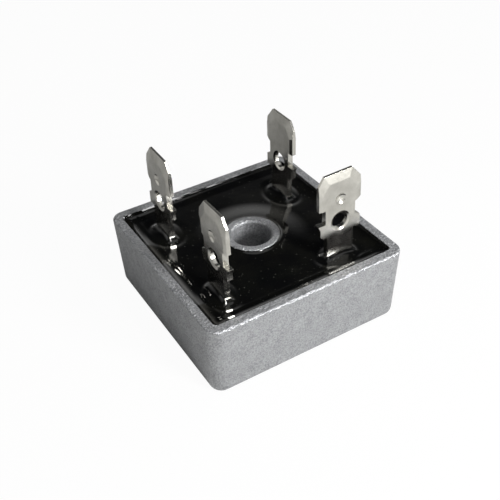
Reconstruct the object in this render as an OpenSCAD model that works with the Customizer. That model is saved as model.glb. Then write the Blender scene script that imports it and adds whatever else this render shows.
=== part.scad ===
// Square metal-cased bridge rectifier with four quick-connect terminals.
// Millimetres. Origin at the centre of the base face, on the screw hole's axis, +Z up.
// +X and +Y run along the sides of the case. The negative terminal stands at the -X +Y corner and
// the positive one, turned square to the others, at the +X -Y corner.

/* [Case] */
// Width of the square case at its open top
case_w = 28.6; // [27.6:0.1:31]
// Height of the case from the base to the rim
case_h = 10.9; // [10:0.1:13]
// How far each side draws in from the rim to the base
case_draft = 0.32; // [0:0.02:0.6]
// Radius of the upright corners
case_corner_r = 1.7; // [1.4:0.1:2.4]
// Radius of the rounding round the base
case_base_r = 1.2; // [0.6:0.1:1.3]
// Radius of the rounding along the rim's outer edge
case_rim_r = 0.25; // [0.1:0.05:0.4]
// Thickness of the wall at the rim
wall_t = 1.3; // [1.1:0.05:1.5]
// Thickness of the floor
floor_t = 1.6; // [1.3:0.1:2]
// Radius of the corners inside the cup
cavity_corner_r = 0.6; // [0.3:0.1:1]

/* [Screw boss] */
// Outside diameter of the boss at its top
boss_d = 7.55; // [7:0.05:8.5]
// How much wider the boss is at the floor, on each side
boss_draft = 0.15; // [0.05:0.05:0.3]
// How far the top of the boss lies below the rim
boss_drop = 0.1; // [0:0.05:0.2]
// Diameter of the hole for the mounting screw
screw_hole_d = 5.3; // [5:0.1:5.6]
// Radius of the rounded lip where the hole opens at the top
hole_lip_r = 0.4; // [0.2:0.05:0.5]
// Radius of the rounding round the top of the boss
boss_edge_r = 0.2; // [0.1:0.05:0.3]
// Leg of the chamfer where the hole opens in the base
hole_chamfer = 0.3; // [0.1:0.05:0.5]

/* [Terminal blade] */
// Thickness of the terminal stock
tab_t = 0.8; // [0.7:0.05:0.9]
// Width of the blade that the connector grips
tab_w = 6.3; // [6.1:0.05:6.6]
// Height of the blade's tip above the rim
tab_rise = 11.75; // [11:0.05:13.5]
// Width of the corner chamfer at the tip, on the short side
short_chamfer_w = 1.3; // [0.7:0.05:1.6]
// Height of that chamfer
short_chamfer_h = 1.6; // [0.8:0.05:1.9]
// Width of the corner chamfer at the tip, on the long side
long_chamfer_w = 0.85; // [0.6:0.05:1.4]
// Height of that chamfer
long_chamfer_h = 1.25; // [0.8:0.05:1.6]
// Length of the blade's long side, from the tip to its square step
long_side_l = 4.85; // [4.4:0.1:5.2]
// Length of the blade's short side, from the tip to its slanted step
short_side_l = 4.65; // [4.1:0.05:4.9]
// Height of the slanted step under the short side
slant_h = 0.42; // [0.3:0.05:0.6]
// Width of the coined band along the tip and its chamfers
tip_coin_w = 1.2; // [0.6:0.1:1.5]
// Depth of that band at the edge, on each face
tip_coin_depth = 0.24; // [0.1:0.02:0.3]
// Width of the coined band along the blade's long edges
side_coin_w = 0.55; // [0.3:0.05:0.8]
// Depth of that band at the edge, on each face
side_coin_depth = 0.12; // [0.06:0.02:0.2]

/* [Terminal holes and neck] */
// Distance from the tip to the centre of the locking dimple
dimple_drop = 3.85; // [3.4:0.05:4.2]
// Diameter of the locking dimple at the face
dimple_d = 1.6; // [1.2:0.1:2]
// Depth of the locking dimple
dimple_depth = 0.32; // [0.2:0.02:0.4]
// Distance from the tip to the centre of the solder hole
solder_hole_drop = 7.15; // [6.8:0.05:7.4]
// Diameter of the solder hole
solder_hole_d = 2.3; // [1.8:0.1:2.4]
// Width of the chamfer round the solder hole, on each face
solder_hole_lip = 0.3; // [0.1:0.05:0.4]
// Width of the neck between the blade and the shoulders
neck_w = 4.5; // [4.3:0.1:4.8]
// Distance from the tip to the top of the shoulders
shoulder_drop = 6.92; // [6.4:0.05:7.2]
// Distance from the tip to the underside of the shoulders
shoulder_end = 9.0; // [8.5:0.05:9.2]
// Width across the shoulders
shoulder_w = 6.05; // [5.6:0.05:6.3]
// How far the barb juts past the shoulder on the long side
barb_out = 0.3; // [0.1:0.05:0.4]
// Height of the barb
barb_h = 0.65; // [0.4:0.05:0.9]
// Slope height of the shoulder's corners
shoulder_slope = 0.4; // [0.2:0.05:0.5]
// Width of the leg under the shoulders
leg_w = 4.0; // [3.4:0.1:4.2]

/* [Terminal places] */
// Distance from the screw hole's axis to the mid-plane of the negative terminal
negative_plane = 9.1; // [8.6:0.05:9.6]
// Distance from the middle of its side to the centre of the negative terminal
negative_centre = 7.4; // [6.8:0.05:7.6]
// Lean of the negative terminal towards the middle of its side, in degrees
negative_lean = 1.4; // [-2:0.1:2]
// Distance from the screw hole's axis to the mid-plane of the positive terminal
positive_plane = 9.05; // [8.6:0.05:9.6]
// Distance from the middle of its side to the centre of the positive terminal
positive_centre = 7.5; // [6.8:0.05:7.6]
// Lean of the positive terminal towards the middle of its side, in degrees
positive_lean = 1.3; // [-2:0.1:2]
// Distance from the screw hole's axis to the mid-plane of the first AC terminal
ac_1_plane = 9.15; // [8.6:0.05:9.6]
// Distance from the middle of its side to the centre of the first AC terminal
ac_1_centre = 7.4; // [6.8:0.05:7.6]
// Lean of the first AC terminal towards the middle of its side, in degrees
ac_1_lean = 1.3; // [-2:0.1:2]
// Distance from the screw hole's axis to the mid-plane of the second AC terminal
ac_2_plane = 9.15; // [8.6:0.05:9.6]
// Distance from the middle of its side to the centre of the second AC terminal
ac_2_centre = 6.7; // [6.5:0.05:7.6]
// Lean of the second AC terminal towards the middle of its side, in degrees
ac_2_lean = 0.2; // [-2:0.1:2]

/* [Terminal feet] */
// Inside radius of the bend from leg to foot
bend_r = 0.8; // [0.5:0.05:1]
// How much wider than the leg its root is, on each side
root_extra = 0.4; // [0.3:0.05:0.5]
// Gap cut in the foot beside the root so that it bends cleanly
bend_relief = 0.3; // [0.2:0.05:0.4]
// Width of the foot's two arms
foot_arm_w = 5.0; // [4.8:0.1:5.4]
// How far an arm reaches past the edge of the die that it carries
foot_margin = 0.3; // [0.1:0.05:0.5]
// Size of the gusset in the foot's inner corner
foot_gusset = 2.0; // [1:0.1:2.5]

/* [Diodes and solder] */
// Width of a square diode die
die_w = 4.6; // [4:0.1:4.7]
// Thickness of a die
die_t = 0.3; // [0.25:0.01:0.4]
// Width of the moat etched round the junction
moat_w = 0.35; // [0.2:0.05:0.5]
// Depth of that moat
moat_depth = 0.1; // [0.05:0.01:0.15]
// Thickness of each solder layer
solder_t = 0.1; // [0.06:0.01:0.15]
// How far the solder stays inside the edge of the junction
solder_inset = 0.15; // [0.05:0.05:0.3]

/* [Insulation and potting] */
// Thickness of the insulating sheet
sheet_t = 0.25; // [0.15:0.05:0.4]
// Gap between the sheet's edge and the walls
sheet_wall_gap = 0.9; // [0.8:0.05:1.2]
// Gap between the sheet and the boss
sheet_boss_gap = 0.5; // [0.3:0.05:0.8]
// How far the potting's flat level lies below the rim
potting_drop = 0.9; // [0.8:0.05:1.2]
// Width of the potting's meniscus at the walls and the boss
meniscus_w = 1.1; // [0.8:0.05:1.3]
// Height of that meniscus
meniscus_h = 0.6; // [0.4:0.05:0.7]
// Width of the potting's collar round each leg
collar_w = 1.6; // [1.2:0.05:2]
// Height of that collar
collar_h = 0.55; // [0.4:0.05:0.7]

/* [Hidden] */

$fn = 64;
// Number of sides of what is hulled
hull_fn = 32;
// How far a cutter runs past what it cuts
past = 1;

// Directions from the screw hole to the four dice
FRONT = 270;
RIGHT = 0;
BACK = 90;
LEFT = 180;

// Case
boss_top_z = case_h - boss_drop;
boss_base_d = boss_d + 2 * boss_draft;
cavity_top_w = case_w - 2 * wall_t;
cavity_base_w = cavity_top_w - 2 * case_draft;

// Levels of the stack on the floor
sheet_z = floor_t;
lower_foot_z = sheet_z + sheet_t;
solder_under_z = lower_foot_z + tab_t;
die_z = solder_under_z + solder_t;
solder_over_z = die_z + die_t;
upper_foot_z = solder_over_z + solder_t;
potting_z = case_h - potting_drop;

// The dice lie midway between the boss and the walls
die_place_r = (boss_base_d + cavity_base_w) / 4;
junction_w = die_w - 2 * moat_w;
solder_w = junction_w - 2 * solder_inset;

// Terminals, whose drops are measured down from the tip
tip_z = case_h + tab_rise;
root_w = leg_w + 2 * root_extra;
foot_reach = die_w / 2 + foot_margin;
// Distance from a leg's mid-plane to the axis of the bend under it
bend_in = tab_t / 2 + bend_r;
negative_place = [negative_plane, negative_centre];
positive_place = [positive_plane, positive_centre];
ac_1_place = [ac_1_plane, ac_1_centre];
ac_2_place = [ac_2_plane, ac_2_centre];

// ---- Case -------------------------------------------------------------------------------------

// A disc of radius corner_r whose rim is rounded by edge_r, which is hulled into a round corner
module corner_disc(corner_r, edge_r) {
    rotate_extrude($fn = hull_fn)
        intersection() {
            translate([corner_r - edge_r, 0])
                circle(r = edge_r, $fn = hull_fn);
            translate([0, -edge_r])
                square([corner_r, 2 * edge_r]);
        }
}

// Repeats what follows at the four corners of a square of the given width
module at_corners(width) {
    for (x = [-1, 1], y = [-1, 1])
        translate([x * width / 2, y * width / 2, 0])
            children();
}

module case_block() {
    top_span = case_w - 2 * case_corner_r;
    hull() {
        translate([0, 0, case_base_r])
            at_corners(top_span - 2 * case_draft)
                corner_disc(case_corner_r, case_base_r);
        translate([0, 0, case_h - case_rim_r])
            at_corners(top_span)
                corner_disc(case_corner_r, case_rim_r);
    }
}

// The space inside the cup, from the floor to just above the rim
module cavity() {
    // The walls go on widening at their own draft above the rim
    widening = case_draft / (case_h - floor_t);
    top_w = cavity_top_w + 2 * past * widening;
    hull() {
        translate([0, 0, floor_t + cavity_corner_r])
            at_corners(cavity_base_w - 2 * cavity_corner_r)
                corner_disc(cavity_corner_r, cavity_corner_r);
        translate([0, 0, case_h])
            at_corners(top_w - 2 * cavity_corner_r)
                cylinder(r = cavity_corner_r, h = past, $fn = hull_fn);
    }
}

// The boss without its hole, with a rounded edge at the top
module boss_body() {
    top_r = boss_d / 2;
    rotate_extrude() {
        difference() {
            polygon([
                [0, floor_t / 2],
                [boss_base_d / 2, floor_t / 2],
                [boss_base_d / 2, floor_t],
                [top_r, boss_top_z - boss_edge_r],
                [top_r, boss_top_z],
                [0, boss_top_z]
            ]);
            difference() {
                translate([top_r - boss_edge_r, boss_top_z - boss_edge_r])
                    square(2 * boss_edge_r);
                translate([top_r - boss_edge_r, boss_top_z - boss_edge_r])
                    circle(r = boss_edge_r);
            }
        }
    }
}

// The screw hole with its rounded lip above and its chamfer below
module screw_hole() {
    hole_r = screw_hole_d / 2;
    lip_z = boss_top_z - hole_lip_r;
    translate([0, 0, -past])
        cylinder(r = hole_r, h = case_h + 2 * past);
    rotate_extrude()
        difference() {
            translate([hole_r - hole_lip_r / 2, lip_z])
                square([1.5 * hole_lip_r, hole_lip_r + past]);
            translate([hole_r + hole_lip_r, lip_z])
                circle(r = hole_lip_r);
        }
    translate([0, 0, -past])
        cylinder(r1 = hole_r + hole_chamfer + past, r2 = hole_r, h = hole_chamfer + past);
}

module case() {
    color([0.62, 0.63, 0.64])
        difference() {
            union() {
                difference() {
                    case_block();
                    cavity();
                }
                boss_body();
            }
            screw_hole();
        }
}

// ---- Terminals --------------------------------------------------------------------------------
// A terminal is drawn for the -X +Y corner and mirrored to the others. Its flat outline has x along
// the blade's width, from the leg's middle, and y up. place is [plane, centre], and lean is in
// degrees. side is 1 where the blade's short side faces +x, or -1 where it faces the other way.

// Leans what is drawn flat about the point where the leg leaves the potting
module leaned(lean) {
    translate([0, potting_z])
        rotate(lean)
            translate([0, -potting_z])
                children();
}

// Stands what is drawn flat in its place, with its thickness along X
module stood_up(place) {
    translate([-place[0], place[1], 0])
        rotate([90, 0, 90])
            children();
}

// Swaps the blade's short and long sides where side is -1
module handed(side) {
    mirror([side < 0 ? 1 : 0, 0, 0])
        children();
}

module blade_outline() {
    half = tab_w / 2;
    neck = neck_w / 2;
    neck_low_z = tip_z - shoulder_drop - shoulder_slope;
    polygon([
        [long_chamfer_w - half, tip_z],
        [-half, tip_z - long_chamfer_h],
        [-half, tip_z - long_side_l],
        [-neck, tip_z - long_side_l],
        [-neck, neck_low_z],
        [neck, neck_low_z],
        [neck, tip_z - short_side_l - slant_h],
        [half, tip_z - short_side_l],
        [half, tip_z - short_chamfer_h],
        [half - short_chamfer_w, tip_z]
    ]);
}

module shoulder_outline() {
    half = shoulder_w / 2;
    neck = neck_w / 2;
    top = tip_z - shoulder_drop;
    low = tip_z - shoulder_end;
    polygon([
        [-neck, top],
        [-half - barb_out, top],
        [-half, top - barb_h],
        [-half, low + shoulder_slope],
        [-half + shoulder_slope, low],
        [half, low],
        [half, top - shoulder_slope],
        [neck, top]
    ]);
}

// The leg, from the given height up to the middle of the shoulders
module leg_outline(low_z) {
    high_z = tip_z - (shoulder_drop + shoulder_end) / 2;
    translate([-leg_w / 2, low_z])
        square([leg_w, high_z - low_z]);
}

// What a leaned outline keeps above the bend under it
module above_bend(foot_z) {
    root_z = foot_z + tab_t + bend_r;
    intersection() {
        children();
        translate([-case_w / 2, root_z])
            square([case_w, tip_z]);
    }
}

// A wedge that coins one edge of the blade, from one point of its outline to the next with the blade
// on the left, on both faces
module coin_edge(from, to, width, depth) {
    run = to - from;
    slope = depth / width;
    for (face = [0, 1])
        mirror([0, 0, face])
            translate([from.x, from.y, 0])
                rotate(atan2(run.y, run.x))
                    translate([-past, 0, tab_t / 2])
                        rotate([90, 0, 90])
                            linear_extrude(height = norm(run) + 2 * past)
                                polygon([
                                    [-past, -depth - past * slope],
                                    [width + past, past * slope],
                                    [-past, past]
                                ]);
}

// The coined bands round the grip of the blade
module coined_bands() {
    half = tab_w / 2;
    low_z = tip_z - long_side_l;
    short_tip = [half - short_chamfer_w, tip_z];
    short_corner = [half, tip_z - short_chamfer_h];
    long_tip = [long_chamfer_w - half, tip_z];
    long_corner = [-half, tip_z - long_chamfer_h];
    coin_edge(short_tip, long_tip, tip_coin_w, tip_coin_depth);
    coin_edge(long_tip, long_corner, tip_coin_w, tip_coin_depth);
    coin_edge(short_corner, short_tip, tip_coin_w, tip_coin_depth);
    coin_edge(long_corner, [-half, low_z], side_coin_w, side_coin_depth);
    coin_edge([half, low_z], short_corner, side_coin_w, side_coin_depth);
}

// The round dimple that the connector's spring snaps into, on the blade's outer face
module locking_dimple() {
    ball_r = (pow(dimple_d / 2, 2) + pow(dimple_depth, 2)) / (2 * dimple_depth);
    translate([0, tip_z - dimple_drop, -tab_t / 2 + dimple_depth - ball_r])
        sphere(r = ball_r);
}

// The hole through the neck, chamfered on both faces
module solder_hole() {
    hole_r = solder_hole_d / 2;
    chamfer_h = solder_hole_lip / 2;
    translate([0, tip_z - solder_hole_drop, 0]) {
        cylinder(r = hole_r, h = tab_t + 2 * past, center = true);
        for (face = [0, 1])
            mirror([0, 0, face])
                translate([0, 0, tab_t / 2 - chamfer_h])
                    cylinder(r1 = hole_r, r2 = hole_r + 2 * solder_hole_lip, h = 2 * chamfer_h);
    }
}

// The upright part of a terminal, from the bend to the tip, coined, dimpled and pierced
module upright(foot_z, side, place, lean) {
    stood_up(place)
        difference() {
            linear_extrude(height = tab_t, center = true)
                above_bend(foot_z)
                    leaned(lean)
                        handed(side) {
                            blade_outline();
                            shoulder_outline();
                            leg_outline(foot_z);
                        }
            leaned(lean)
                handed(side) {
                    coined_bands();
                    locking_dimple();
                    solder_hole();
                }
        }
}

// The wider root on which the leg stands, and the bend that turns it into the foot
module bend(foot_z, place) {
    outer_r = bend_r + tab_t;
    translate([bend_in - place[0], place[1] + root_w / 2, foot_z + outer_r])
        rotate([90, 0, 0])
            linear_extrude(height = root_w) {
                translate([-outer_r, 0])
                    square([tab_t, root_extra]);
                difference() {
                    intersection() {
                        circle(r = outer_r);
                        translate([-outer_r, -outer_r])
                            square(outer_r);
                    }
                    circle(r = bend_r);
                }
            }
}

// The L-shaped foot, which reaches along two sides of the case to the middle of each
module foot(foot_z, place) {
    inner = die_place_r - foot_arm_w / 2;
    outer = die_place_r + foot_arm_w / 2;
    bend_x = bend_in - place[0];
    relief_y = place[1] - root_w / 2 - bend_relief;
    translate([0, 0, foot_z])
        linear_extrude(height = tab_t)
            polygon([
                [-outer, -foot_reach],
                [-inner, -foot_reach],
                [-inner, inner - foot_gusset],
                [-inner + foot_gusset, inner],
                [foot_reach, inner],
                [foot_reach, outer],
                [bend_x, outer],
                [bend_x, relief_y],
                [-outer, relief_y]
            ]);
}

module terminal(foot_z, side, place, lean) {
    color([0.74, 0.72, 0.67])
        union() {
            foot(foot_z, place);
            bend(foot_z, place);
            upright(foot_z, side, place, lean);
        }
}

// What the potting holds of a terminal: its foot, bend and leg
module terminal_socket(foot_z, place, lean) {
    foot(foot_z, place);
    bend(foot_z, place);
    stood_up(place)
        linear_extrude(height = tab_t, center = true)
            above_bend(foot_z)
                leaned(lean)
                    leg_outline(foot_z);
}

// The mirrorings that take the -X +Y corner's terminal to the other corners
module to_positive_corner() {
    mirror([1, -1, 0])
        children();
}

module to_ac_1_corner() {
    mirror([0, 1, 0])
        children();
}

module to_ac_2_corner() {
    mirror([1, 0, 0])
        children();
}

module terminal_negative() {
    terminal(lower_foot_z, 1, negative_place, negative_lean);
}

module terminal_positive() {
    to_positive_corner()
        terminal(lower_foot_z, 1, positive_place, positive_lean);
}

module terminal_ac_1() {
    to_ac_1_corner()
        terminal(upper_foot_z, -1, ac_1_place, ac_1_lean);
}

module terminal_ac_2() {
    to_ac_2_corner()
        terminal(upper_foot_z, 1, ac_2_place, ac_2_lean);
}

// ---- Inside -----------------------------------------------------------------------------------

// A square slab on the given side of the boss
module slab(direction, width, z, thickness) {
    rotate(direction)
        translate([die_place_r - width / 2, -width / 2, z])
            cube([width, width, thickness]);
}

// A die, whose junction side is drawn in by the moat and faces up, or down where flipped
module diode(direction, flipped) {
    body_z = flipped ? die_z + moat_depth : die_z;
    color([0.36, 0.38, 0.42])
        union() {
            slab(direction, die_w, body_z, die_t - moat_depth);
            slab(direction, junction_w, die_z, die_t);
        }
}

module solder(direction, z) {
    color([0.78, 0.78, 0.8])
        slab(direction, solder_w, z, solder_t);
}

module insulating_sheet() {
    sheet_w = cavity_base_w - 2 * sheet_wall_gap;
    color([0.87, 0.83, 0.7])
        translate([0, 0, sheet_z])
            linear_extrude(height = sheet_t)
                difference() {
                    square(sheet_w, center = true);
                    circle(d = boss_base_d + 2 * sheet_boss_gap);
                }
}

// ---- Potting ----------------------------------------------------------------------------------

// Section of a meniscus that rises by h over a width w towards x = 0
module meniscus_section(w, h) {
    arc_r = (w * w + h * h) / (2 * h);
    difference() {
        translate([-past, -past])
            square([w + past, h + past]);
        translate([w, arc_r])
            circle(r = arc_r);
    }
}

module wall_meniscus() {
    half = cavity_top_w / 2;
    for (turn = [0 : 90 : 270])
        rotate(turn)
            translate([-half, half, potting_z])
                rotate([90, 0, 0])
                    linear_extrude(height = cavity_top_w)
                        meniscus_section(meniscus_w, meniscus_h);
}

module boss_meniscus() {
    translate([0, 0, potting_z])
        rotate_extrude()
            translate([boss_d / 2, 0])
                meniscus_section(meniscus_w, meniscus_h);
}

// The collar round a leg: straight along its faces and round at its edges
module leg_collar(place) {
    edge = (leg_w - tab_t) / 2;
    translate([-place[0], place[1], potting_z]) {
        for (face = [0, 1])
            mirror([face, 0, 0])
                translate([tab_t / 2, edge, 0])
                    rotate([90, 0, 0])
                        linear_extrude(height = 2 * edge)
                            meniscus_section(collar_w, collar_h);
        for (y = [-edge, edge])
            translate([0, y, 0])
                rotate_extrude()
                    intersection() {
                        translate([tab_t / 2, 0])
                            meniscus_section(collar_w, collar_h);
                        translate([0, -past])
                            square([tab_t + collar_w, collar_h + past]);
                    }
    }
}

module potting_fill() {
    intersection() {
        cavity();
        union() {
            translate([-case_w / 2, -case_w / 2, 0])
                cube([case_w, case_w, potting_z]);
            wall_meniscus();
            boss_meniscus();
            leg_collar(negative_place);
            to_positive_corner()
                leg_collar(positive_place);
            to_ac_1_corner()
                leg_collar(ac_1_place);
            to_ac_2_corner()
                leg_collar(ac_2_place);
        }
    }
}

module potting() {
    color([0.05, 0.05, 0.055])
        difference() {
            potting_fill();
            boss_body();
            insulating_sheet();
            terminal_socket(lower_foot_z, negative_place, negative_lean);
            to_positive_corner()
                terminal_socket(lower_foot_z, positive_place, positive_lean);
            to_ac_1_corner()
                terminal_socket(upper_foot_z, ac_1_place, ac_1_lean);
            to_ac_2_corner()
                terminal_socket(upper_foot_z, ac_2_place, ac_2_lean);
            for (direction = [FRONT, RIGHT, BACK, LEFT]) {
                solder(direction, solder_under_z);
                solder(direction, solder_over_z);
            }
            diode(FRONT, false);
            diode(RIGHT, false);
            diode(BACK, true);
            diode(LEFT, true);
        }
}

// ---- Nodes ------------------------------------------------------------------------------------

case();
insulating_sheet();
terminal_positive();
terminal_negative();
terminal_ac_1();
terminal_ac_2();
diode(FRONT, false);  // diode_front
diode(RIGHT, false);  // diode_right
diode(BACK, true);  // diode_back
diode(LEFT, true);  // diode_left
solder(FRONT, solder_under_z);  // solder_under_front
solder(RIGHT, solder_under_z);  // solder_under_right
solder(BACK, solder_under_z);  // solder_under_back
solder(LEFT, solder_under_z);  // solder_under_left
solder(FRONT, solder_over_z);  // solder_over_front
solder(RIGHT, solder_over_z);  // solder_over_right
solder(BACK, solder_over_z);  // solder_over_back
solder(LEFT, solder_over_z);  // solder_over_left
potting();
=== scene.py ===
"""A square metal-cased bridge rectifier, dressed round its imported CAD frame.

Lengths in the fields below are in millimetres, and MM turns them to the metres of the frame.
+Z is up, the origin is at the centre of the base, and the screw hole runs along Z.
"""

import logging
import math
from dataclasses import dataclass, field
from enum import Enum
from typing import Any

import bmesh
import bpy
import numpy as np
from mathutils import Matrix, Vector


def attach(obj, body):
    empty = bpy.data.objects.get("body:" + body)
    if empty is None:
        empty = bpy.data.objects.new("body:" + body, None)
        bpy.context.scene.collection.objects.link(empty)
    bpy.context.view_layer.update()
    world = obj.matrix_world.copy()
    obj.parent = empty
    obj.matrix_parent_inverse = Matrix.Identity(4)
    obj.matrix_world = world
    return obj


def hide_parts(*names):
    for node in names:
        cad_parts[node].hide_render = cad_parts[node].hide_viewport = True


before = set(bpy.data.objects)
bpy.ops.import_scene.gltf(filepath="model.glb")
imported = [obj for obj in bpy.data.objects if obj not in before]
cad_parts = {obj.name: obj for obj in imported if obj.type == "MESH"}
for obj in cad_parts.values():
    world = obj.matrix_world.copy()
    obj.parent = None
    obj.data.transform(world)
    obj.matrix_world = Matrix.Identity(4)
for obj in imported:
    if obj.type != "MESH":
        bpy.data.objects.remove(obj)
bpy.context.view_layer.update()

LOG = logging.getLogger("bridge_rectifier")
MM = 0.001
ROOT = "root"

# Sockets of Blender's Mix node when it mixes colours
MIX_FACTOR = 0
MIX_A = 6
MIX_B = 7
MIX_OUT = 2


def linear(code: str) -> tuple[float, float, float, float]:
    """Turns an sRGB hex colour to the linear colour that a shader takes.

    Args:
        code: The colour, such as "#c8c4ba".

    Returns:
        Its red, green and blue, and an alpha of 1.
    """
    channels = [int(code[i:i + 2], 16) / 255 for i in (1, 3, 5)]
    low = [c / 12.92 if c <= 0.04045 else ((c + 0.055) / 1.055) ** 2.4 for c in channels]
    return (low[0], low[1], low[2], 1.0)


def per_metre(size: float) -> float:
    """Gives the scale at which a texture repeats once in the given number of millimetres."""
    return 1 / (size * MM)


def add_node(
    tree: bpy.types.NodeTree,
    kind: str,
    settings: dict[str, Any] | None = None,
    inputs: dict[str | int, Any] | None = None,
) -> bpy.types.Node:
    """Adds a node with its settings, values and links.

    Args:
        tree: The node tree that takes it.
        kind: Blender's name for the type of node.
        settings: Properties of the node by name.
        inputs: For each input by name or number, its value or the output that it is linked to.

    Returns:
        The new node.
    """
    node = tree.nodes.new(kind)
    for name, value in (settings or {}).items():
        setattr(node, name, value)
    for name, value in (inputs or {}).items():
        if isinstance(value, bpy.types.NodeSocket):
            tree.links.new(value, node.inputs[name])
        else:
            node.inputs[name].default_value = value
    return node


def new_tree(name: str) -> tuple[bpy.types.Material, bpy.types.NodeTree]:
    """Makes an empty node material.

    Args:
        name: The material's name.

    Returns:
        The material and its node tree.
    """
    material = bpy.data.materials.new(name)
    material.use_nodes = True
    material.node_tree.nodes.clear()
    return material, material.node_tree


# ---- Finishes ----------------------------------------------------------------------------------


@dataclass(frozen=True)
class CastAluminium:
    """Die-cast aluminium, tumbled: a soft grey metal whose cast skin is mottled and pitted.

    Attributes:
        pale: Colour of the clean skin.
        dull: Colour of the greyer patches, where the skin is oxidised.
        patch: Width of those patches.
        patch_share: Share of the patches in how dull the skin is. The rest is the grain's.
        grain: Width of the grain left by the die's blasted face.
        pit: Spacing of the pits and sparkling spots.
        pit_share: Depth of the pits next to the grain's.
        relief: Depth of the grain.
        nick: Spacing of the nicks along the rim.
        nick_relief: Depth of those nicks.
        nicked_above: Height above the base from which the edges are nicked and worn bright.
        nicked_fade: Height over which the nicks come in.
        top: Height above the base of the flat tops.
        roughness_low: Roughness of the clean spots.
        roughness_high: Roughness of the dull skin.
        worn: Roughness of the worn edges.
        scuffed: Roughness of the flat tops and of the bore.
        bore_r: Radius within which the skin is the bore's.
    """

    pale: str = "#b4b5b7"
    dull: str = "#7e7f81"
    patch: float = 1.8
    patch_share: float = 0.25
    grain: float = 0.22
    pit: float = 0.4
    pit_share: float = 0.35
    relief: float = 0.12
    nick: float = 0.3
    nick_relief: float = 0.26
    nicked_above: float = 10.45
    nicked_fade: float = 0.15
    top: float = 10.78
    roughness_low: float = 0.38
    roughness_high: float = 0.58
    worn: float = 0.42
    scuffed: float = 0.62
    bore_r: float = 2.75

    def build(self) -> bpy.types.Material:
        """Builds the material, which gives the eye a soft, speckled grey with bright grains.

        Returns:
            The material.
        """
        material, tree = new_tree("aluminium_die_cast_tumbled")
        place = add_node(tree, "ShaderNodeTexCoord").outputs["Object"]
        patches = add_node(tree, "ShaderNodeTexNoise", inputs={
            "Vector": place, "Scale": per_metre(self.patch), "Detail": 3.0, "Roughness": 0.6})
        grains = add_node(tree, "ShaderNodeTexNoise", inputs={
            "Vector": place, "Scale": per_metre(self.grain), "Detail": 4.0, "Roughness": 0.65})
        pits = add_node(tree, "ShaderNodeTexVoronoi", inputs={
            "Vector": place, "Scale": per_metre(self.pit)})
        speckle = add_node(tree, "ShaderNodeMapRange", inputs={
            "Value": grains.outputs["Fac"], "From Min": 0.38, "From Max": 0.62})
        blotch = add_node(tree, "ShaderNodeMapRange", inputs={
            "Value": patches.outputs["Fac"], "From Min": 0.35, "From Max": 0.65})
        share = add_node(tree, "ShaderNodeMath", {"operation": "MULTIPLY"}, {
            0: blotch.outputs["Result"], 1: self.patch_share})
        dullness = add_node(tree, "ShaderNodeMath", {"operation": "MULTIPLY_ADD"}, {
            0: speckle.outputs["Result"], 1: 1 - self.patch_share, 2: share.outputs[0]})
        colour = add_node(tree, "ShaderNodeMix", {"data_type": "RGBA"}, {
            MIX_FACTOR: dullness.outputs[0], MIX_A: linear(self.pale), MIX_B: linear(self.dull)})
        even = add_node(tree, "ShaderNodeMapRange", inputs={
            "Value": dullness.outputs[0], "To Min": self.roughness_low,
            "To Max": self.roughness_high})
        parts = add_node(tree, "ShaderNodeSeparateXYZ", inputs={0: place})
        rim = add_node(tree, "ShaderNodeMapRange", inputs={
            "Value": parts.outputs["Z"], "From Min": self.nicked_above * MM,
            "From Max": (self.nicked_above + self.nicked_fade) * MM})
        flat = add_node(tree, "ShaderNodeMath", {"operation": "GREATER_THAN"}, {
            0: parts.outputs["Z"], 1: self.top * MM})
        edged = add_node(tree, "ShaderNodeMapRange", inputs={
            "Value": rim.outputs["Result"], "To Min": even.outputs["Result"],
            "To Max": self.worn})
        level = add_node(tree, "ShaderNodeVectorMath", {"operation": "MULTIPLY"}, {
            0: place, 1: (1.0, 1.0, 0.0)})
        off_axis = add_node(tree, "ShaderNodeVectorMath", {"operation": "LENGTH"}, {
            0: level.outputs["Vector"]})
        bore = add_node(tree, "ShaderNodeMath", {"operation": "LESS_THAN"}, {
            0: off_axis.outputs["Value"], 1: self.bore_r * MM})
        scuffs = add_node(tree, "ShaderNodeMath", {"operation": "MAXIMUM"}, {
            0: flat.outputs[0], 1: bore.outputs[0]})
        roughness = add_node(tree, "ShaderNodeMapRange", inputs={
            "Value": scuffs.outputs[0], "To Min": edged.outputs["Result"],
            "To Max": self.scuffed})
        height = add_node(tree, "ShaderNodeMath", {"operation": "MULTIPLY_ADD"}, {
            0: pits.outputs["Distance"], 1: self.pit_share, 2: grains.outputs["Fac"]})
        bump = add_node(tree, "ShaderNodeBump", inputs={
            "Strength": 0.6, "Distance": self.relief * MM, "Height": height.outputs[0]})
        nicks = add_node(tree, "ShaderNodeTexNoise", inputs={
            "Vector": place, "Scale": per_metre(self.nick), "Detail": 3.0})
        nicked = add_node(tree, "ShaderNodeBump", inputs={
            "Strength": rim.outputs["Result"], "Distance": self.nick_relief * MM,
            "Height": nicks.outputs["Fac"], "Normal": bump.outputs["Normal"]})
        metal = add_node(tree, "ShaderNodeBsdfPrincipled", inputs={
            "Base Color": colour.outputs[MIX_OUT], "Metallic": 1.0,
            "Roughness": roughness.outputs["Result"], "Normal": nicked.outputs["Normal"]})
        add_node(tree, "ShaderNodeOutputMaterial", inputs={"Surface": metal.outputs["BSDF"]})
        return material


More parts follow.
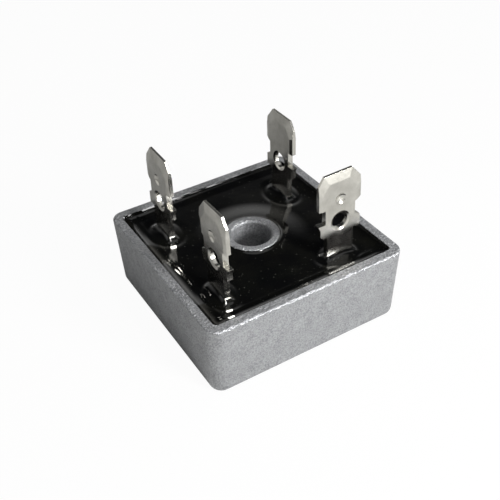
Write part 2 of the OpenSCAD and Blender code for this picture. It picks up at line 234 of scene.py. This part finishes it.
@dataclass(frozen=True)
class TinnedBrass:
    """Brass strip, rolled, stamped and matte tin plated: warm grey with fine marks of the rolls.

    Attributes:
        plate: Colour of the plating.
        worn: Colour where handling has dulled it.
        mark_width: Spacing of the fine marks across the rolling direction.
        mark_length: Length of those marks along it.
        smear: Width of the dull smears.
        relief: Depth of the marks.
        roughness_low: Roughness of the clean plating.
        roughness_high: Roughness of the dull smears.
    """

    plate: str = "#c3c1ba"
    worn: str = "#acaaa3"
    # The rolls' own marks lie some hundredths of a millimetre apart, too fine to show
    mark_width: float = 0.16
    mark_length: float = 3.2
    smear: float = 1.8
    relief: float = 0.006
    roughness_low: float = 0.14
    roughness_high: float = 0.24

    def build(self) -> bpy.types.Material:
        """Builds the material, which gives the eye a silky grey with faint upright marks.

        Returns:
            The material.
        """
        material, tree = new_tree("brass_strip_matte_tin_plated")
        place = add_node(tree, "ShaderNodeTexCoord").outputs["Object"]
        along = add_node(tree, "ShaderNodeMapping", inputs={
            "Vector": place, "Scale": (1.0, 1.0, self.mark_width / self.mark_length)})
        marks = add_node(tree, "ShaderNodeTexNoise", inputs={
            "Vector": along.outputs["Vector"], "Scale": per_metre(self.mark_width),
            "Detail": 3.0, "Roughness": 0.7})
        smears = add_node(tree, "ShaderNodeTexNoise", inputs={
            "Vector": place, "Scale": per_metre(self.smear), "Detail": 4.0, "Roughness": 0.6})
        wear = add_node(tree, "ShaderNodeMapRange", inputs={
            "Value": smears.outputs["Fac"], "From Min": 0.35, "From Max": 0.7})
        colour = add_node(tree, "ShaderNodeMix", {"data_type": "RGBA"}, {
            MIX_FACTOR: wear.outputs["Result"], MIX_A: linear(self.plate),
            MIX_B: linear(self.worn)})
        roughness = add_node(tree, "ShaderNodeMapRange", inputs={
            "Value": smears.outputs["Fac"], "From Min": 0.3, "From Max": 0.7,
            "To Min": self.roughness_low, "To Max": self.roughness_high})
        bump = add_node(tree, "ShaderNodeBump", inputs={
            "Strength": 0.5, "Distance": self.relief * MM, "Height": marks.outputs["Fac"]})
        metal = add_node(tree, "ShaderNodeBsdfPrincipled", inputs={
            "Base Color": colour.outputs[MIX_OUT], "Metallic": 1.0,
            "Roughness": roughness.outputs["Result"], "Normal": bump.outputs["Normal"]})
        add_node(tree, "ShaderNodeOutputMaterial", inputs={"Surface": metal.outputs["BSDF"]})
        return material


@dataclass(frozen=True)
class PiercedBrass:
    """Brass bared where the punch has sheared through the plating: dull gold with torn streaks.

    Attributes:
        bright: Colour of the sheared band.
        dark: Colour of the torn band and of tarnish.
        streak: Spacing of the streaks that the punch leaves.
        roughness: Roughness of the sheared metal.
    """

    bright: str = "#b79a63"
    dark: str = "#5d4a2c"
    streak: float = 0.25
    roughness: float = 0.38

    def build(self) -> bpy.types.Material:
        """Builds the material, which gives the eye a golden glint inside the hole.

        Returns:
            The material.
        """
        material, tree = new_tree("brass_sheared_by_the_punch")
        place = add_node(tree, "ShaderNodeTexCoord").outputs["Object"]
        streaks = add_node(tree, "ShaderNodeTexNoise", inputs={
            "Vector": place, "Scale": per_metre(self.streak), "Detail": 3.0})
        tone = add_node(tree, "ShaderNodeMapRange", inputs={
            "Value": streaks.outputs["Fac"], "From Min": 0.35, "From Max": 0.65})
        colour = add_node(tree, "ShaderNodeMix", {"data_type": "RGBA"}, {
            MIX_FACTOR: tone.outputs["Result"], MIX_A: linear(self.bright),
            MIX_B: linear(self.dark)})
        metal = add_node(tree, "ShaderNodeBsdfPrincipled", inputs={
            "Base Color": colour.outputs[MIX_OUT], "Metallic": 1.0, "Roughness": self.roughness})
        add_node(tree, "ShaderNodeOutputMaterial", inputs={"Surface": metal.outputs["BSDF"]})
        return material


@dataclass(frozen=True)
class PottingEpoxy:
    """Filled black epoxy, poured and cured: glossy, near black, with faint ripples and dust.

    Attributes:
        resin: Colour of the resin.
        haze: Colour of the filler that shows in patches.
        dust: Colour of the dust that lies on it.
        ripple: Width of the ripples in the cured skin.
        relief: Height of the ripples.
        haze_width: Width of the hazy patches.
        dust_spacing: Spacing of the dust specks.
        ior: Index of refraction of cured epoxy.
        roughness_low: Roughness of the clean skin.
        roughness_high: Roughness of the hazy patches.
    """

    resin: str = "#040404"
    haze: str = "#0b0b08"
    dust: str = "#6f6f6a"
    ripple: float = 1.3
    relief: float = 0.012
    haze_width: float = 3.5
    dust_spacing: float = 0.55
    ior: float = 1.5
    roughness_low: float = 0.05
    roughness_high: float = 0.14

    def build(self) -> bpy.types.Material:
        """Builds the material, which gives the eye a wet black with soft, uneven reflections.

        Returns:
            The material.
        """
        material, tree = new_tree("epoxy_black_poured")
        place = add_node(tree, "ShaderNodeTexCoord").outputs["Object"]
        hazes = add_node(tree, "ShaderNodeTexNoise", inputs={
            "Vector": place, "Scale": per_metre(self.haze_width), "Detail": 5.0,
            "Roughness": 0.6})
        haze = add_node(tree, "ShaderNodeMapRange", inputs={
            "Value": hazes.outputs["Fac"], "From Min": 0.4, "From Max": 0.75})
        ripples = add_node(tree, "ShaderNodeTexNoise", inputs={
            "Vector": place, "Scale": per_metre(self.ripple), "Detail": 2.0})
        specks = add_node(tree, "ShaderNodeTexVoronoi", inputs={
            "Vector": place, "Scale": per_metre(self.dust_spacing)})
        speck = add_node(tree, "ShaderNodeMapRange", inputs={
            "Value": specks.outputs["Distance"], "From Min": 0.05, "From Max": 0.1,
            "To Min": 0.5, "To Max": 0.0})
        skin = add_node(tree, "ShaderNodeMix", {"data_type": "RGBA"}, {
            MIX_FACTOR: haze.outputs["Result"], MIX_A: linear(self.resin),
            MIX_B: linear(self.haze)})
        colour = add_node(tree, "ShaderNodeMix", {"data_type": "RGBA"}, {
            MIX_FACTOR: speck.outputs["Result"], MIX_A: skin.outputs[MIX_OUT],
            MIX_B: linear(self.dust)})
        roughness = add_node(tree, "ShaderNodeMapRange", inputs={
            "Value": haze.outputs["Result"], "To Min": self.roughness_low,
            "To Max": self.roughness_high})
        bump = add_node(tree, "ShaderNodeBump", inputs={
            "Strength": 0.5, "Distance": self.relief * MM, "Height": ripples.outputs["Fac"]})
        resin = add_node(tree, "ShaderNodeBsdfPrincipled", inputs={
            "Base Color": colour.outputs[MIX_OUT], "Metallic": 0.0, "IOR": self.ior,
            "Roughness": roughness.outputs["Result"], "Normal": bump.outputs["Normal"]})
        add_node(tree, "ShaderNodeOutputMaterial", inputs={"Surface": resin.outputs["BSDF"]})
        return material


@dataclass(frozen=True)
class Speckled:
    """A plain material of the inside, with the fine mottle of its own making.

    Attributes:
        name: Name of the material, and how it was made.
        light: Lighter of its two colours.
        dark: Darker of its two colours.
        grain: Width of its grain.
        relief: Depth of its grain.
        metallic: 1 for a metal, otherwise 0.
        roughness: Its roughness.
    """

    name: str
    light: str
    dark: str
    grain: float
    relief: float
    metallic: float
    roughness: float

    def build(self) -> bpy.types.Material:
        """Builds the material, which gives the eye a finely mottled, even surface.

        Returns:
            The material.
        """
        material, tree = new_tree(self.name)
        place = add_node(tree, "ShaderNodeTexCoord").outputs["Object"]
        grains = add_node(tree, "ShaderNodeTexNoise", inputs={
            "Vector": place, "Scale": per_metre(self.grain), "Detail": 4.0})
        tone = add_node(tree, "ShaderNodeMapRange", inputs={
            "Value": grains.outputs["Fac"], "From Min": 0.35, "From Max": 0.65})
        colour = add_node(tree, "ShaderNodeMix", {"data_type": "RGBA"}, {
            MIX_FACTOR: tone.outputs["Result"], MIX_A: linear(self.light),
            MIX_B: linear(self.dark)})
        bump = add_node(tree, "ShaderNodeBump", inputs={
            "Strength": 0.5, "Distance": self.relief * MM, "Height": grains.outputs["Fac"]})
        surface = add_node(tree, "ShaderNodeBsdfPrincipled", inputs={
            "Base Color": colour.outputs[MIX_OUT], "Metallic": self.metallic,
            "Roughness": self.roughness, "Normal": bump.outputs["Normal"]})
        add_node(tree, "ShaderNodeOutputMaterial", inputs={"Surface": surface.outputs["BSDF"]})
        return material


class InnerFinish(Enum):
    """Finishes of the parts that the potting hides."""

    # Calendered polyester sheet: a smooth cream that is barely mottled
    INSULATION = Speckled("polyester_sheet_calendered", "#e2d9b8", "#cfc5a2", 0.6, 0.004, 0.0, 0.45)
    # Etched silicon: a dark blue grey with a soft metallic sheen
    SILICON = Speckled("silicon_wafer_etched", "#6a707c", "#4f5560", 0.25, 0.002, 1.0, 0.3)
    # Reflowed tin-lead solder: a bright, slightly frosted silver
    SOLDER = Speckled("solder_tin_lead_reflowed", "#cfd0d2", "#a9abae", 0.2, 0.006, 1.0, 0.28)


def give(piece: bpy.types.Object, *materials: bpy.types.Material) -> None:
    """Puts materials in a piece's slots in place of those it has.

    Args:
        piece: The piece to dress.
        materials: Its materials, in the order of its slots.
    """
    piece.data.materials.clear()
    for material in materials:
        piece.data.materials.append(material)


# ---- Case --------------------------------------------------------------------------------------


@dataclass
class Case:
    """The die-cast cup with its screw boss, which is the frame's own solid with a cast skin.

    Attributes:
        node: Name of the solid.
        finish: Its finish.
    """

    node: str = "case"
    finish: CastAluminium = CastAluminium()

    def dress(self) -> bpy.types.Object:
        """Gives the cup its cast skin.

        Returns:
            The cup.
        """
        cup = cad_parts[self.node]
        give(cup, self.finish.build())
        return cup


# ---- Terminals ---------------------------------------------------------------------------------


@dataclass(frozen=True)
class Leg:
    """Where a terminal stands.

    Attributes:
        x: Place of the middle of its leg along X.
        y: Place of the middle of its leg along Y.
        along_x: True where its width runs along X, or False where it runs along Y.
    """

    x: float
    y: float
    along_x: bool


LEGS = {
    "terminal_positive": Leg(7.5, -9.05, True),
    "terminal_negative": Leg(-9.1, 7.4, False),
    "terminal_ac_1": Leg(-9.15, -7.4, False),
    "terminal_ac_2": Leg(9.15, 6.7, False),
}


@dataclass
class Terminals:
    """The four quick-connect terminals, whose stamped edges are broken by a fine rounding.

    Attributes:
        legs: For the name of each solid that a piece stands for, where it stands.
        edge_r: Radius of the rounding along the stamped edges.
        edge_angle: Angle in degrees above which an edge is a stamped one.
        smooth_angle: Angle in degrees below which faces shade as one curve.
        hole_z: Height of the solder hole's centre above the base.
        hole_r: Radius of the solder hole.
        lip_reach: How far past the hole's wall its faces are looked for.
        wall_turn: Share of a normal along the hole's axis below which a face is of its wall.
        weld: Distance below which points of the solid's mesh are one.
        slot: Name of their finish's slot in the record. It is not used.
        plating: Finish of the faces and edges.
        sheared: Finish inside the solder hole.
    """

    legs: dict[str, Leg] = field(default_factory=lambda: LEGS)
    edge_r: float = 0.05
    edge_angle: float = 40.0
    smooth_angle: float = 10.0
    hole_z: float = 15.5
    hole_r: float = 1.15
    lip_reach: float = 0.4
    wall_turn: float = 0.3
    weld: float = 0.001
    slot: str = "terminal_plate"
    plating: TinnedBrass = TinnedBrass()
    sheared: PiercedBrass = PiercedBrass()

    def build(self) -> list[bpy.types.Object]:
        """Builds a piece for each terminal.

        Returns:
            The pieces, in the order of the legs.
        """
        plating = self.plating.build()
        sheared = self.sheared.build()
        return [self._piece(node, plating, sheared) for node in self.legs]

    def _piece(
        self, node: str, plating: bpy.types.Material, sheared: bpy.types.Material
    ) -> bpy.types.Object:
        """Builds the piece that stands for one terminal.

        Args:
            node: Name of the solid.
            plating: Material of its faces.
            sheared: Material inside its hole.

        Returns:
            The piece.
        """
        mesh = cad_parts[node].data.copy()
        mesh.name = f"{node}_stamping"
        self._break_edges(mesh)
        self._bare_hole(mesh, self.legs[node])
        piece = bpy.data.objects.new(mesh.name, mesh)
        bpy.context.scene.collection.objects.link(piece)
        give(piece, plating, sheared)
        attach(piece, ROOT)
        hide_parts(node)
        return piece

    def _break_edges(self, mesh: bpy.types.Mesh) -> None:
        """Joins the solid's flat faces and rounds the sharp edges between them.

        Args:
            mesh: The mesh to change.
        """
        sheet = bmesh.new()
        sheet.from_mesh(mesh)
        bmesh.ops.remove_doubles(sheet, verts=sheet.verts, dist=self.weld * MM)
        bmesh.ops.dissolve_limit(
            sheet, angle_limit=math.radians(1), verts=sheet.verts, edges=sheet.edges)
        limit = math.radians(self.edge_angle)
        sharp = [e for e in sheet.edges if e.is_manifold and e.calc_face_angle() > limit]
        bmesh.ops.bevel(
            sheet, geom=sharp, offset=self.edge_r * MM, segments=2, profile=0.5,
            affect="EDGES", clamp_overlap=True)
        bmesh.ops.recalc_face_normals(sheet, faces=sheet.faces)
        sheet.to_mesh(mesh)
        sheet.free()
        mesh.polygons.foreach_set("use_smooth", [True] * len(mesh.polygons))
        mesh.set_sharp_from_angle(angle=math.radians(self.smooth_angle))

    def _bare_hole(self, mesh: bpy.types.Mesh, leg: Leg) -> None:
        """Gives the wall of the solder hole the second material.

        Args:
            mesh: The mesh to change.
            leg: Where the terminal stands.
        """
        middle = Vector((leg.x, leg.y, self.hole_z)) * MM
        across = Vector((0, 1, 0)) if leg.along_x else Vector((1, 0, 0))
        reach = (self.hole_r + self.lip_reach) * MM
        for face in mesh.polygons:
            off = face.center - middle
            off -= across * off.dot(across)
            if off.length < reach and abs(face.normal.dot(across)) < self.wall_turn:
                face.material_index = 1


# ---- Potting -----------------------------------------------------------------------------------


@dataclass
class Potting:
    """The cured epoxy, whose skin climbs the walls, the boss and the legs, and ripples between.

    Attributes:
        node: Name of the solid that it stands for.
        slot: Name of its finish's slot in the record. It is not used.
        finish: Its finish.
        level: Height of its flat level above the base.
        floor: Height of its underside above the base.
        wall: Distance from the hole's axis to each wall at the rim.
        wall_at_floor: The same distance at the floor.
        boss_r: Radius of the boss at the level.
        boss_r_at_floor: Radius of the boss at the floor.
        wall_climb_w: Width of the meniscus at the walls.
        near_climb: Height of the meniscus at the left and front walls.
        far_climb: Height of the meniscus at the right and back walls.
        boss_climb_w: Width of the meniscus at the boss.
        boss_climb: Height of the meniscus at the boss.
        fold_off: Distance from the left and front walls to the fold in the skin along them.
        fold_w: Width of that fold.
        fold_h: Height of that fold.
        film_h: Height above the level of the thin film that wets the walls.
        legs: Where the terminals come out of it.
        leg_w: Width of a leg.
        leg_t: Thickness of a leg.
        mound_face: Reach of the mound round a leg off its faces.
        mound_end: Reach of the mound off its edges.
        mound_h: Height of the mound.
        wetting_face: Width of the steep meniscus at a leg's faces.
        wetting_end: Width of that meniscus at a leg's edges.
        wetting_h: Height of that meniscus.
        wetting_power: How fast that meniscus falls away from the leg.
        moat_r: Distance from the middle of a leg to the moat round its mound.
        moat_w: Width of the moat.
        moat_h: Depth of the moat.
        boss_skirt: Height of the gentle slope round the boss's meniscus.
        skirt_w: Width of that slope.
        swell: Height of the slow waves left as the epoxy cured.
        swell_w: Width of those waves.
        swell_turns: Radians that the waves turn over that width: along X, along Y and aslant.
        swell_starts: Where in their turn those waves start, in radians.
        aslant_run: How much the waves that run aslant follow Y, next to X.
        aslant_share: Height of the waves that run aslant, next to the others.
        rings: Number of rings from the boss to the walls.
        spokes: Number of spokes round the boss.
        smooth_angle: Angle in degrees below which faces shade as one curve.
    """

    node: str = "potting"
    slot: str = "epoxy"
    finish: PottingEpoxy = PottingEpoxy()
    level: float = 10.0
    floor: float = 1.6
    wall: float = 13.0
    wall_at_floor: float = 12.68
    boss_r: float = 3.79
    boss_r_at_floor: float = 3.925
    wall_climb_w: float = 1.5
    near_climb: float = 0.72
    far_climb: float = 0.3
    boss_climb_w: float = 1.2
    boss_climb: float = 0.65
    fold_off: float = 1.9
    fold_w: float = 0.24
    fold_h: float = 0.03
    film_h: float = 0.8
    legs: tuple[Leg, ...] = tuple(LEGS.values())
    leg_w: float = 4.0
    leg_t: float = 0.8
    mound_face: float = 2.2
    mound_end: float = 2.9
    mound_h: float = 0.45
    wetting_face: float = 0.8
    wetting_end: float = 0.6
    wetting_h: float = 0.5
    wetting_power: float = 2.2
    moat_r: float = 2.3
    moat_w: float = 0.38
    moat_h: float = 0.08
    boss_skirt: float = 0.45
    skirt_w: float = 4.5
    swell: float = 0.012
    swell_w: float = 5.0
    swell_turns: tuple[float, float, float] = (2.1, 1.7, 3.3)
    swell_starts: tuple[float, float, float] = (0.7, -0.4, 1.9)
    aslant_run: float = 0.8
    aslant_share: float = 0.6
    rings: int = 92
    spokes: int = 576
    smooth_angle: float = 30.0

    def build(self) -> bpy.types.Object:
        """Builds the potting as one closed ring of epoxy between the boss and the walls.

        Returns:
            The piece.
        """
        top = self._top_grid()
        mesh = bpy.data.meshes.new("potting_pour")
        points, faces = self._closed(top)
        mesh.from_pydata(points.tolist(), [], faces)
        mesh.validate()
        mesh.polygons.foreach_set("use_smooth", [True] * len(mesh.polygons))
        mesh.set_sharp_from_angle(angle=math.radians(self.smooth_angle))
        piece = bpy.data.objects.new(mesh.name, mesh)
        bpy.context.scene.collection.objects.link(piece)
        give(piece, self.finish.build())
        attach(piece, ROOT)
        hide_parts(self.node)
        return piece

    def _top_grid(self) -> np.ndarray:
        """Lays out the skin of the potting.

        Returns:
            Its points in millimetres, by ring, spoke and axis.
        """
        turn = np.linspace(0, 2 * math.pi, self.spokes, endpoint=False)
        heading = np.stack([np.cos(turn), np.sin(turn)], axis=1)
        outer = heading * (self.wall / np.abs(heading).max(axis=1))[:, None]
        inner = heading * self.boss_r
        share = np.linspace(0, 1, self.rings)
        share = 0.5 - 0.5 * np.cos(math.pi * share)
        flat = inner[None] + (outer - inner)[None] * share[:, None, None]
        height = self._skin_height(flat[..., 0], flat[..., 1])
        return np.concatenate([flat, height[..., None]], axis=2)

    def _skin_height(self, x: np.ndarray, y: np.ndarray) -> np.ndarray:
        """Finds how high the skin stands.

        Args:
            x: Places along X.
            y: Places along Y.

        Returns:
            The heights above the base.
        """
        to_boss = np.maximum(np.hypot(x, y) - self.boss_r, 0)
        climbs = [
            *(self._climb(self.wall + side, self.near_climb, self.wall_climb_w)
              for side in (x, y)),
            *(self._climb(self.wall - side, self.far_climb, self.wall_climb_w)
              for side in (x, y)),
            self._climb(to_boss, self.boss_climb, self.boss_climb_w),
            self._skirt(to_boss, self.boss_skirt)]
        fold = self.fold_h * sum(
            np.exp(-((self.wall + side - self.fold_off) / self.fold_w) ** 2) for side in (x, y))
        moats = np.zeros_like(x)
        for leg in self.legs:
            across, along = (y - leg.y, x - leg.x) if leg.along_x else (x - leg.x, y - leg.y)
            reach = np.hypot(across / self.mound_face, along / self.mound_end)
            climbs.append(self.mound_h * np.clip(1 - reach, 0, 1) ** 2)
            off_face = np.maximum(np.abs(across) - self.leg_t / 2, 0)
            off_end = np.maximum(np.abs(along) - self.leg_w / 2, 0)
            off = np.hypot(off_face / self.wetting_face, off_end / self.wetting_end)
            climbs.append(self.wetting_h * np.clip(1 - off, 0, 1) ** self.wetting_power)
            ring = np.hypot(across, along * self.mound_face / self.mound_end)
            moats += np.exp(-((ring - self.moat_r) / self.moat_w) ** 2)
        together = sum(climb ** 3 for climb in climbs) ** (1 / 3)
        rise = together + fold - self.moat_h * moats + self.swell * self._waves(x, y)
        return self.level + np.minimum(rise, self.film_h)

    def _waves(self, x: np.ndarray, y: np.ndarray) -> np.ndarray:
        """Lays out the slow waves that the epoxy cured in.

        Args:
            x: Places along X.
            y: Places along Y.

        Returns:
            Their heights, as shares of the height of a wave.
        """
        turn_x, turn_y, turn_aslant = self.swell_turns
        start_x, start_y, start_aslant = self.swell_starts
        crossed = np.sin(x / self.swell_w * turn_x + start_x)
        crossed *= np.cos(y / self.swell_w * turn_y + start_y)
        aslant = (x + self.aslant_run * y) / self.swell_w * turn_aslant
        return crossed + self.aslant_share * np.sin(aslant + start_aslant)

    def _climb(self, distance: np.ndarray, height: float, width: float) -> np.ndarray:
        """Gives the height of a meniscus, which is an arc that ends level.

        Args:
            distance: Distances from what it climbs.
            height: Its height.
            width: Its width.

        Returns:
            The heights above the level.
        """
        short = np.clip(width - distance, 0, None)
        radius = (width ** 2 + height ** 2) / (2 * height)
        return radius - np.sqrt(radius ** 2 - short ** 2)

    def _skirt(self, distance: np.ndarray, height: float) -> np.ndarray:
        """Gives the height of the gentle slope at a distance from what it surrounds."""
        share = np.clip(1 - distance / self.skirt_w, 0, 1)
        return height * share * share * (3 - 2 * share)

    def _closed(self, top: np.ndarray) -> tuple[np.ndarray, list[tuple[int, ...]]]:
        """Closes the skin with its sides and its underside.

        Args:
            top: The points of the skin, by ring, spoke and axis.

        Returns:
            All the points in metres, and the faces as rings of point numbers.
        """
        film = top[-1].copy()
        film[:, 2] = self.level + self.film_h
        wall_foot = top[-1] * (self.wall_at_floor / self.wall)
        boss_foot = top[0] * (self.boss_r_at_floor / self.boss_r)
        wall_foot[:, 2] = self.floor
        boss_foot[:, 2] = self.floor
        rows = np.concatenate([top, film[None], wall_foot[None], boss_foot[None]])
        count = len(rows)
        faces = []
        for row in range(count):
            beyond = (row + 1) % count
            for spoke in range(self.spokes):
                after = (spoke + 1) % self.spokes
                faces.append((
                    row * self.spokes + spoke, beyond * self.spokes + spoke,
                    beyond * self.spokes + after, row * self.spokes + after))
        return rows.reshape(-1, 3) * MM, faces


# ---- Inside ------------------------------------------------------------------------------------


@dataclass
class Inside:
    """What the potting hides: the insulating sheet, the four dice and their solder.

    Attributes:
        finishes: For the start of a node's name, the finish of the nodes so named.
    """

    finishes: tuple[tuple[str, InnerFinish], ...] = (
        ("insulating_sheet", InnerFinish.INSULATION),
        ("diode_", InnerFinish.SILICON),
        ("solder_", InnerFinish.SOLDER))

    def dress(self) -> list[bpy.types.Object]:
        """Gives each hidden solid its finish.

        Returns:
            The solids.
        """
        dressed = []
        for start, finish in self.finishes:
            material = finish.value.build()
            solids = [solid for name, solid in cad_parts.items() if name.startswith(start)]
            for solid in solids:
                give(solid, material)
            dressed += solids
        return dressed


# ---- Studio ------------------------------------------------------------------------------------


@dataclass(frozen=True)
class Lamp:
    """A soft lamp that shines at the middle of the object.

    Attributes:
        name: Its name.
        azimuth: Its bearing in degrees, from the front towards the right.
        elevation: Its height in degrees above the floor.
        distance: Its distance from the object.
        width: Its width.
        height: Its height.
        power: Its power in watts.
    """

    name: str
    azimuth: float
    elevation: float
    distance: float
    width: float
    height: float
    power: float


def bearing(azimuth: float, elevation: float) -> Vector:
    """Gives the direction of a bearing.

    Args:
        azimuth: Degrees from the front (-Y) towards the right (+X).
        elevation: Degrees above the floor.

    Returns:
        A unit vector.
    """
    turn = math.radians(azimuth)
    rise = math.radians(elevation)
    flat = math.cos(rise)
    return Vector((math.sin(turn) * flat, -math.cos(turn) * flat, math.sin(rise)))


@dataclass
class Studio:
    """The floor, the white surroundings, the lamps and the camera.

    Attributes:
        target: Point that the camera looks at.
        azimuth: The camera's bearing in degrees, from the front towards the right.
        elevation: The camera's height in degrees above the floor.
        roll: How far the camera leans clockwise, in degrees.
        distance: The camera's distance from the target.
        lens: Its focal length.
        sensor: Width of its sensor.
        nearest: Distance from it at which it begins to see.
        floor_w: Width of the floor.
        floor: Colour of the floor.
        horizon: Colour of the surroundings at the height of the floor.
        zenith: Colour of the surroundings overhead.
        dusk: Heights, as the sines of an angle, between which the one turns to the other.
        glow: Share of plain white in what the camera sees of the floor.
        mirror_glow: Share of plain white in what metal and glass mirror of the background.
        lamps: The lamps.
    """

    target: tuple[float, float, float] = (1.57, 3.352, 5.0)
    azimuth: float = -29.97
    elevation: float = 38.16
    roll: float = 2.46
    distance: float = 113.05
    lens: float = 57.79
    sensor: float = 36.0
    nearest: float = 1.0
    floor_w: float = 6000.0
    floor: str = "#bdbdbc"
    horizon: str = "#f0f0ee"
    zenith: str = "#1b1e23"
    dusk: tuple[float, float] = (0.2, 0.62)
    glow: float = 0.96
    mirror_glow: float = 0.02
    lamps: tuple[Lamp, ...] = (
        Lamp("key", 18.0, 22.0, 220.0, 52.0, 52.0, 0.95),
        Lamp("spark", 8.0, 50.0, 220.0, 22.0, 22.0, 0.2),
        Lamp("top", 30.0, 75.0, 500.0, 500.0, 500.0, 0.6))

    def build(self) -> None:
        """Builds the whole studio."""
        self._surroundings()
        self._floor()
        for lamp in self.lamps:
            self._lamp(lamp)
        self._camera()

    def _surroundings(self) -> None:
        """Makes the surroundings: white to the camera, and shaded from pale to dim to the rest."""
        world = bpy.data.worlds.new("studio_surroundings")
        bpy.context.scene.world = world
        world.use_nodes = True
        tree = world.node_tree
        tree.nodes.clear()
        heading = add_node(tree, "ShaderNodeTexCoord").outputs["Generated"]
        parts = add_node(tree, "ShaderNodeSeparateXYZ", inputs={0: heading})
        rise = add_node(tree, "ShaderNodeMapRange", {"interpolation_type": "SMOOTHSTEP"}, {
            "Value": parts.outputs["Z"], "From Min": self.dusk[0], "From Max": self.dusk[1]})
        shade = add_node(tree, "ShaderNodeMix", {"data_type": "RGBA"}, {
            MIX_FACTOR: rise.outputs["Result"], MIX_A: linear(self.horizon),
            MIX_B: linear(self.zenith)})
        seen = add_node(tree, "ShaderNodeMix", {"data_type": "RGBA"}, {
            MIX_FACTOR: self._white_share(tree, 1.0), MIX_A: shade.outputs[MIX_OUT],
            MIX_B: linear("#ffffff")})
        light = add_node(tree, "ShaderNodeBackground", inputs={
            "Color": seen.outputs[MIX_OUT], "Strength": 1.0})
        add_node(tree, "ShaderNodeOutputWorld", inputs={"Surface": light.outputs["Background"]})

    def _white_share(self, tree: bpy.types.NodeTree, seen: float) -> bpy.types.NodeSocket:
        """Adds the share of plain white that a ray finds in the background.

        Args:
            tree: The node tree that takes it.
            seen: The share that the camera sees.

        Returns:
            The output that carries the share.
        """
        rays = add_node(tree, "ShaderNodeLightPath")
        mirrored = add_node(tree, "ShaderNodeMath", {"operation": "MAXIMUM"}, {
            0: rays.outputs["Is Glossy Ray"], 1: rays.outputs["Is Transmission Ray"]})
        faint = add_node(tree, "ShaderNodeMath", {"operation": "MULTIPLY"}, {
            0: mirrored.outputs[0], 1: self.mirror_glow})
        share = add_node(tree, "ShaderNodeMath", {"operation": "MULTIPLY_ADD"}, {
            0: rays.outputs["Is Camera Ray"], 1: seen, 2: faint.outputs[0]})
        return share.outputs[0]

    def _floor(self) -> None:
        """Lays the floor, which shows white and keeps a faint shadow."""
        material, tree = new_tree("paper_sweep_white")
        paper = add_node(tree, "ShaderNodeBsdfDiffuse", inputs={"Color": linear(self.floor)})
        white = add_node(tree, "ShaderNodeEmission", inputs={
            "Color": linear("#ffffff"), "Strength": 1.0})
        both = add_node(tree, "ShaderNodeMixShader", inputs={
            0: self._white_share(tree, self.glow), 1: paper.outputs["BSDF"],
            2: white.outputs["Emission"]})
        add_node(tree, "ShaderNodeOutputMaterial", inputs={"Surface": both.outputs["Shader"]})
        half = self.floor_w / 2 * MM
        mesh = bpy.data.meshes.new("paper_floor")
        corners = [(-half, -half, 0), (half, -half, 0), (half, half, 0), (-half, half, 0)]
        mesh.from_pydata(corners, [], [(0, 1, 2, 3)])
        floor = bpy.data.objects.new(mesh.name, mesh)
        bpy.context.scene.collection.objects.link(floor)
        give(floor, material)

    def _lamp(self, lamp: Lamp) -> None:
        """Hangs a lamp.

        Args:
            lamp: What to hang.
        """
        light = bpy.data.lights.new(lamp.name, "AREA")
        light.shape = "RECTANGLE"
        light.size = lamp.width * MM
        light.size_y = lamp.height * MM
        light.energy = lamp.power
        holder = bpy.data.objects.new(lamp.name, light)
        bpy.context.scene.collection.objects.link(holder)
        way = bearing(lamp.azimuth, lamp.elevation)
        middle = Vector(self.target) * MM
        holder.location = middle + way * lamp.distance * MM
        holder.rotation_euler = way.to_track_quat("Z", "Y").to_euler()

    def _camera(self) -> None:
        """Sets up the camera."""
        data = bpy.data.cameras.new("camera")
        data.sensor_width = self.sensor
        data.lens = self.lens
        data.clip_start = self.nearest * MM
        camera = bpy.data.objects.new("camera", data)
        bpy.context.scene.collection.objects.link(camera)
        way = bearing(self.azimuth, self.elevation)
        upright = way.to_track_quat("Z", "Y").to_matrix().to_4x4()
        lean = Matrix.Rotation(-math.radians(self.roll), 4, "Z")
        place = Matrix.Translation(Vector(self.target) * MM + way * self.distance * MM)
        camera.matrix_world = place @ upright @ lean
        bpy.context.scene.camera = camera


def main() -> None:
    """Dresses the rectifier and builds the studio round it."""
    logging.basicConfig(level=logging.INFO, format="%(name)s: %(message)s")
    bpy.context.scene.view_settings.view_transform = "Standard"
    pieces = [Case().dress(), *Terminals().build(), Potting().build(), *Inside().dress()]
    for piece in pieces:
        faces = len(piece.data.polygons)
        LOG.info("%s: %d faces in %s", piece.name, faces, piece.data.materials[0].name)
    Studio().build()


if __name__ == "__main__":
    main()
